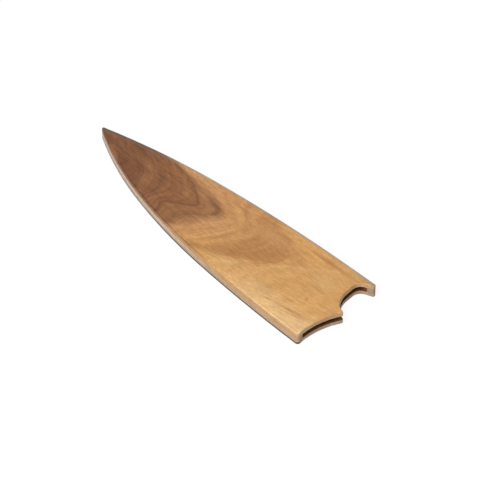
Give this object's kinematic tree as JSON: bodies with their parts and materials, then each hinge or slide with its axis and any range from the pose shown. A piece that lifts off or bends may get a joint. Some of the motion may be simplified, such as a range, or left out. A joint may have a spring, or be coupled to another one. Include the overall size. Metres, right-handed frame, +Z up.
{
  "type": "knife blade guard",
  "caption": "Flat wooden slip-on guard for a chef's knife blade, with two thin panels on edge rails, a slot between them, a scalloped mouth and hidden magnets.",
  "frame": {"origin": "middle of the guard's plan, on its underside", "axes": "+X runs out of the mouth, where the knife goes in; -X points to the tip; +Y is the spine side, -Y the edge side; +Z is up, through the thickness"},
  "size_m": [0.227, 0.0644, 0.009],
  "materials": {
    "panel_wood": "oiled, fine sanded",
    "rail_wood": "oiled, fine sanded",
    "magnet_nickel": "satin nickel plate"
  },
  "bodies": {
    "root": {"top_panel": "panel_wood", "bottom_panel": "panel_wood", "spine_rail": "rail_wood", "edge_rail": "rail_wood", "bottom_magnet_1": "magnet_nickel", "bottom_magnet_2": "magnet_nickel", "bottom_magnet_3": "magnet_nickel", "bottom_magnet_4": "magnet_nickel", "top_magnet_1": "magnet_nickel", "top_magnet_2": "magnet_nickel", "top_magnet_3": "magnet_nickel", "top_magnet_4": "magnet_nickel"}
  },
  "joints": []
}
